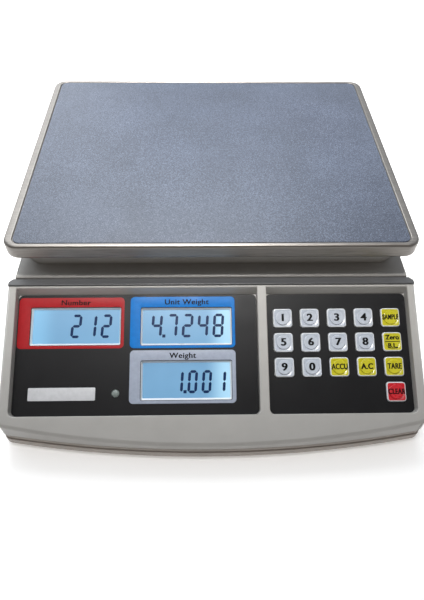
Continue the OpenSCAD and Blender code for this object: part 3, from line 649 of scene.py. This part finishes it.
def digit_bars(mesh, digit, right, v_top, v_low, width, rise):
    """One slanted seven-segment digit. right is its right edge at the foot."""
    half = (v_low - v_top) / 2
    left = right - width
    inset, split = BAR_THICK / 2, BAR_SPLIT
    ends = {
        "a": ((left, v_top), (right, v_top)), "g": ((left, v_top + half), (right, v_top + half)),
        "d": ((left, v_low), (right, v_low)), "f": ((left, v_top), (left, v_top + half)),
        "b": ((right, v_top), (right, v_top + half)), "e": ((left, v_top + half), (left, v_low)),
        "c": ((right, v_top + half), (right, v_low)),
    }
    for bar in SEGMENTS[digit]:
        (xa, va), (xb, vb) = ends[bar]
        flat = va == vb
        xa, xb = (xa + inset, xb - inset) if flat else (xa + (inset if xa == left else -inset),) * 2
        lift = inset if bar == "a" else -inset if bar == "d" else 0
        if flat:
            va += lift
            outline = [(xa + split, va), (xa + inset + split, va - inset), (xb - inset - split, va - inset),
                       (xb - split, va), (xb - inset - split, va + inset), (xa + inset + split, va + inset)]
        else:
            va, vb = (va + (inset if va == v_top else 0), vb - (inset if vb == v_low else 0))
            outline = [(xa, va + split), (xa + inset, va + inset + split), (xa + inset, vb - inset - split),
                       (xa, vb - split), (xa - inset, vb - inset - split), (xa - inset, va + inset + split)]
        bar_prism(mesh, [(x + SLANT * (v_low - v), v) for x, v in outline], rise)


def bar_prism(mesh, outline, rise):
    """A thin prism over an outline of X and V on the console."""
    low = [mesh.verts.new(PANEL @ Vector((x, v, rise))) for x, v in outline]
    high = [mesh.verts.new(PANEL @ Vector((x, v, rise + BAR_HEIGHT))) for x, v in outline]
    count = len(outline)
    mesh.faces.new(low)
    mesh.faces.new(high)
    for i in range(count):
        mesh.faces.new((low[i], low[(i + 1) % count], high[(i + 1) % count], high[i]))


def reading(name, digits, right, v_top, v_low, width, pitch):
    """The lit digits of one display, set out from the right. A dot follows the digit before it."""
    mesh = bmesh.new()
    rise = LCD_H + 0.02
    x = right
    for sign in reversed(digits):
        if sign == ".":
            dot_x0, dot_x1 = x + DOT_OUT - DOT_HALF, x + DOT_OUT + DOT_HALF
            dot_v0 = v_low - 2 * DOT_HALF
            bar_prism(mesh, [(dot_x0, dot_v0), (dot_x1, dot_v0), (dot_x1, v_low), (dot_x0, v_low)], rise)
        else:
            digit_bars(mesh, sign, x, v_top, v_low, width, rise)
            x -= pitch
    finished(name, mesh, SEGMENT, "root")


console_prints()
window_bezels()
for display in READINGS:
    reading(*display)

# --- inlet, switch and vial ------------------------------------------------------------------------

INLET_LIP = 2.4
PINS = ((-7, -2), (7, -2), (0, 2))
# Half width, half height and corner of a blade, and how deep that section lies
BLADE = ((0.55, 1.55, 0.2, 0), (1.05, 2.05, 0.3, 1.0), (1.05, 2.05, 0.3, 12.9))
BLADE_TIP = 2.95
# How far a mark stands off the rocker, and the least area of one of the rocker's two slopes (m2)
MARK_LOW, MARK_HIGH = 0.01, 0.06
SLOPE_AREA = 20e-6
# Radius and height of each ring of the marks
RING_MARK = ((1.9, MARK_LOW), (1.9, MARK_HIGH), (1.4, MARK_HIGH), (1.4, MARK_LOW))
BAR_MARK = ((0.32, 2.1, 0.2, MARK_LOW), (0.32, 2.1, 0.2, MARK_HIGH))
VIAL_RING = ((3.4, -0.02), (3.4, 0.0), (3.1, 0.0), (3.1, -0.02))
VIAL_BUBBLE = ((2.5, -0.3), (2.5, -0.02), (2.3, 0.0))


def inlet_pins():
    """Three brass blades sleeve the pins moulded in the inlet's recess."""
    low, high = (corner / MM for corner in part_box("power_inlet"))
    middle_x, middle_z = (low.x + high.x) / 2, (low.z + high.z) / 2
    tip_y = high.y - INLET_LIP - BLADE_TIP
    mesh = bmesh.new()
    for x, z in PINS:
        blade = WORLD @ Matrix.Translation((middle_x + x, tip_y, middle_z + z))
        layers = [layer((0, 0), *section, 3) for section in BLADE]
        loft(mesh, layers, blade @ Matrix.Rotation(pi / 2, 4, "X"))
    finished("inlet_pins", mesh, BRASS, "root")


def rocker_marks():
    """A ring and a bar, printed on the two slopes of the rocker."""
    faces = nodes["switch_rocker"].data.polygons
    outward = max(face.normal.x for face in faces)
    slopes = [face for face in faces if face.normal.x > 0.9 * outward and face.area > SLOPE_AREA]
    slopes.sort(key=lambda face: face.center.y)
    ring = [layer((0, 0), r, r, r, height) for r, height in RING_MARK]
    bar = [layer((0, 0), *section, 3) for section in BAR_MARK]
    for name, face, layers, closed in (("rocker_off_mark", slopes[0], ring, True),
                                       ("rocker_on_mark", slopes[-1], bar, False)):
        normal = face.normal
        across = Vector((0, 0, 1)).cross(normal).normalized()
        upright = normal.cross(across)
        turned = Matrix((across, upright, normal)).transposed().to_4x4()
        place = Matrix.Translation(face.center) @ turned @ WORLD
        mesh = bmesh.new()
        loft(mesh, layers, place, closed)
        finished(name, mesh, INK_WHITE, "rocker")


def vial_bubble():
    """The bubble under the vial's face, with the ring that it should sit in."""
    low, high = (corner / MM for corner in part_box("level_vial"))
    at = ((low.x + high.x) / 2, (low.y + high.y) / 2)
    for name, sizes, finish, closed in (("vial_ring", VIAL_RING, INK_BLACK, True),
                                        ("vial_bubble", VIAL_BUBBLE, BUBBLE, False)):
        mesh = bmesh.new()
        loft(mesh, [layer(at, r, r, r, high.z + height) for r, height in sizes], WORLD, closed)
        finished(name, mesh, finish, "root")


inlet_pins()
rocker_marks()
vial_bubble()

# --- keys ------------------------------------------------------------------------------------------

KEYS = [
    ("key_1", "1", 0, 0), ("key_2", "2", 1, 0), ("key_3", "3", 2, 0), ("key_4", "4", 3, 0),
    ("key_sample", "SAMPLE", 4, 0),
    ("key_5", "5", 0, 1), ("key_6", "6", 1, 1), ("key_7", "7", 2, 1), ("key_8", "8", 3, 1),
    ("key_zero", "Zero", 4, 1),
    ("key_9", "9", 0, 2), ("key_0", "0", 1, 2), ("key_accumulate", "ACCU", 2, 2),
    ("key_clear_total", "A.C", 3, 2), ("key_tare", "TARE", 4, 2), ("key_clear", "CLEAR", 4, 3),
]
# Height, stretch and boldness of a legend, by its number of signs
LEGENDS = {1: (5.4, 1.10, 0.27), 3: (4.0, 0.88, 0.24), 4: (4.0, 0.71, 0.22), 5: (3.8, 0.71, 0.20),
           6: (3.8, 0.60, 0.20)}
KEY_HALF, KEY_R, KEY_EDGE = 7.0, 2.2, 0.75
DOME_R, DOME_RISE, DOME_EDGE, DOME_SAG = 5.3, 0.6, 0.35, 0.11
FLANGE, KEY_BOTTOM, FLANGE_TOP = 0.6, -2.4, -1.3
# The groove round the pad: how far out from it and how far over the cap's flat
GROOVE = ((0.75, -0.02), (0.3, -0.28), (0.05, -0.28))
DOME_SHARES = (0.985, 0.97, 0.95, 0.93, 0.8, 0.6, 0.4, 0.2, 0.05)
PRINT_MARGIN = 0.65


def key_surface(at, margin=0.0):
    """The height of a cap's top at any X and V: a dished round pad over a flat. A margin widens the pad,
    so that a print hangs clear over its edge."""
    def height(x, v):
        radius = max(0.0, ((x - at[0]) ** 2 + (v - at[1]) ** 2) ** 0.5 - margin)
        if radius > DOME_R:
            return KEY_TOP
        crown = KEY_TOP + DOME_RISE - DOME_SAG * (1 - (radius / DOME_R) ** 2)
        return crown - DOME_EDGE * max(0.0, (radius - DOME_R + DOME_EDGE) / DOME_EDGE) ** 2
    return height


def key_cap(name, legend, column, row):
    """A cap with a pale rounded border, a raised round pad, its flange and its legend."""
    at = (KEY_X0 + column * KEY_PITCH_X, KEY_V0 + row * KEY_PITCH_V)
    wide = KEY_HALF + FLANGE
    surface = key_surface(at)

    def disc(radius, height):
        return layer(at, radius, radius, radius, height)

    layers = [layer(at, wide, wide, KEY_R + FLANGE, KEY_BOTTOM),
              layer(at, wide, wide, KEY_R + FLANGE, FLANGE_TOP),
              layer(at, KEY_HALF, KEY_HALF, KEY_R, FLANGE_TOP)]
    for inward, up in round_off(KEY_EDGE):
        half = KEY_HALF - inward
        layers.append(layer(at, half, half, KEY_R - inward, KEY_TOP - KEY_EDGE + up))
    border = len(layers) - 1
    layers += [disc(DOME_R + out, KEY_TOP + up) for out, up in GROOVE]
    layers.append(disc(DOME_R - 0.01, KEY_TOP + DOME_RISE - DOME_EDGE))
    for share in DOME_SHARES:
        layers.append(disc(DOME_R * share, surface(at[0] + DOME_R * share, at[1])))
    mesh = bmesh.new()
    loft(mesh, layers, PANEL, second=border)
    slot = slot_of[name]
    cap = finished(name + "_cap", mesh, (KEY_BORDER, FINISHES[slot]), name, 55)
    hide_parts(name)
    print_on = key_surface(at, PRINT_MARGIN)
    if name == "key_zero":
        for part, words, lift in (("upper", legend, -3.0), ("lower", "B.L.", 3.1)):
            lettering(name + "_" + part + "_legend", words, (at[0], at[1] + lift), 3.4, INK_BLACK, name,
                      0.20, 0.92, print_on)
        legend_bar(name, at, print_on)
    else:
        height, stretch, bold = LEGENDS[len(legend)]
        lettering(name + "_legend", legend, at, height, INK_BLACK, name, bold, stretch, print_on)


def legend_bar(name, at, surface):
    """The line between the two rows of a double legend."""
    steps, half, thick = 16, 5.6, 0.28
    mesh = bmesh.new()
    rows = []
    for i in range(steps + 1):
        x = at[0] - half + 2 * half * i / steps
        h = surface(x, at[1])
        rows.append([mesh.verts.new(PANEL @ Vector((x, at[1] + dv, h + dh)))
                     for dv, dh in ((-thick, 0.0), (thick, 0.0), (thick, 0.04), (-thick, 0.04))])
    for low, high in zip(rows, rows[1:]):
        for side in range(4):
            after = (side + 1) % 4
            mesh.faces.new((low[side], low[after], high[after], high[side]))
    mesh.faces.new(rows[0])
    mesh.faces.new(rows[-1])
    finished(name + "_legend_bar", mesh, INK_BLACK, name)


for key in KEYS:
    key_cap(*key)

# --- floor, light and camera -----------------------------------------------------------------------

FLOOR_HALF, FLOOR_GLOW = 6.0, 0.32
SCALE_MIDDLE = (0, 0, 0.05)
# Each soft box: its place, size, power and colour
SOFT_BOXES = [
    ("box_behind", (-0.15, 1.15, 1.65), (1.1, 0.7), 18, (0.95, 0.98, 1.0)),
    ("window_behind", (-1.1, 1.6, 0.85), (1.6, 0.9), 9, (0.95, 0.98, 1.0)),
    ("box_above", (-0.5, 0.1, 1.7), (1.4, 1.2), 6, (0.97, 0.99, 1.0)),
]
LAMP_AT, LAMP_AIM = (-0.05, -0.10, 1.2), (0, 0.595, 0.08)
# The photo's camera: its place and the directions to its right, up and ahead
CAMERA_AT = (-0.0087, -0.3181, 0.3644)
CAMERA_RIGHT = (0.99976, -0.01803, 0.0124)
CAMERA_UP = (0.00603, 0.77193, 0.63568)
CAMERA_AHEAD = (0.02103, 0.63546, -0.77185)


def stage_floor():
    """A plain white floor. It glows weakly, so that it is as white as the photo's background."""
    mesh = bmesh.new()
    corners = [mesh.verts.new((x * FLOOR_HALF, y * FLOOR_HALF, 0))
               for x, y in ((-1, -1), (1, -1), (1, 1), (-1, 1))]
    mesh.faces.new(corners)
    data = bpy.data.meshes.new("floor")
    mesh.to_mesh(data)
    mesh.free()
    finish = Finish("floor", (0.86, 0.86, 0.86), 0.6)
    finish.mottle(0.01, 0.004)
    finish.set("Emission Color", (1.0, 0.985, 0.96, 1))
    finish.set("Emission Strength", FLOOR_GLOW)
    data.materials.append(finish.material)
    floor = bpy.data.objects.new("floor", data)
    bpy.context.scene.collection.objects.link(floor)


def area_light(name, place, size, power, colour):
    light = bpy.data.lights.new(name, "AREA")
    light.shape = "RECTANGLE"
    light.size, light.size_y = size
    light.energy = power
    light.color = colour
    aimed(name, light, place, SCALE_MIDDLE)


def aimed(name, light, place, aim):
    lamp = bpy.data.objects.new(name, light)
    lamp.location = place
    lamp.rotation_euler = (Vector(aim) - Vector(place)).to_track_quat("-Z", "Y").to_euler()
    bpy.context.scene.collection.objects.link(lamp)


def studio_light():
    """A room that is brighter behind, soft boxes behind, above and to the left, and a spot lamp above."""
    world = bpy.data.worlds.new("studio")
    world.use_nodes = True
    tree = world.node_tree
    ground = tree.nodes["Background"]
    place = add(tree, "TexCoord").outputs["Generated"]
    split = add(tree, "SeparateXYZ", {"Vector": place})
    back = add(tree, "MapRange", {"Value": split.outputs["Y"], "From Min": -0.9, "From Max": 0.9,
                                  "To Min": 0.0, "To Max": 1.0}, interpolation_type="SMOOTHSTEP")
    shade = add(tree, "ValToRGB", {"Fac": back.outputs["Result"]})
    shade.color_ramp.elements[0].color = (0.255, 0.222, 0.195, 1)
    shade.color_ramp.elements[1].color = (0.88, 0.93, 1.0, 1)
    tree.links.new(shade.outputs["Color"], ground.inputs["Color"])
    ground.inputs["Strength"].default_value = 0.75
    bpy.context.scene.world = world
    for box in SOFT_BOXES:
        area_light(*box)
    spot = bpy.data.lights.new("lamp_above", "SPOT")
    spot.energy = 92
    spot.color = (1.0, 0.985, 0.965)
    spot.shadow_soft_size = 0.14
    spot.spot_size = radians(68)
    spot.spot_blend = 0.35
    aimed("lamp_above", spot, LAMP_AT, LAMP_AIM)


def photo_camera():
    """Looks down on the console from the front, a little left of the middle."""
    data = bpy.data.cameras.new("camera")
    data.sensor_width = 36
    data.lens = 31.2
    data.clip_start = 0.01
    camera = bpy.data.objects.new("camera", data)
    turned = Matrix((CAMERA_RIGHT, CAMERA_UP, -Vector(CAMERA_AHEAD))).transposed().to_4x4()
    camera.matrix_world = Matrix.Translation(CAMERA_AT) @ turned
    bpy.context.scene.collection.objects.link(camera)
    bpy.context.scene.camera = camera


stage_floor()
studio_light()
photo_camera()
bpy.context.scene.view_settings.view_transform = "Standard"
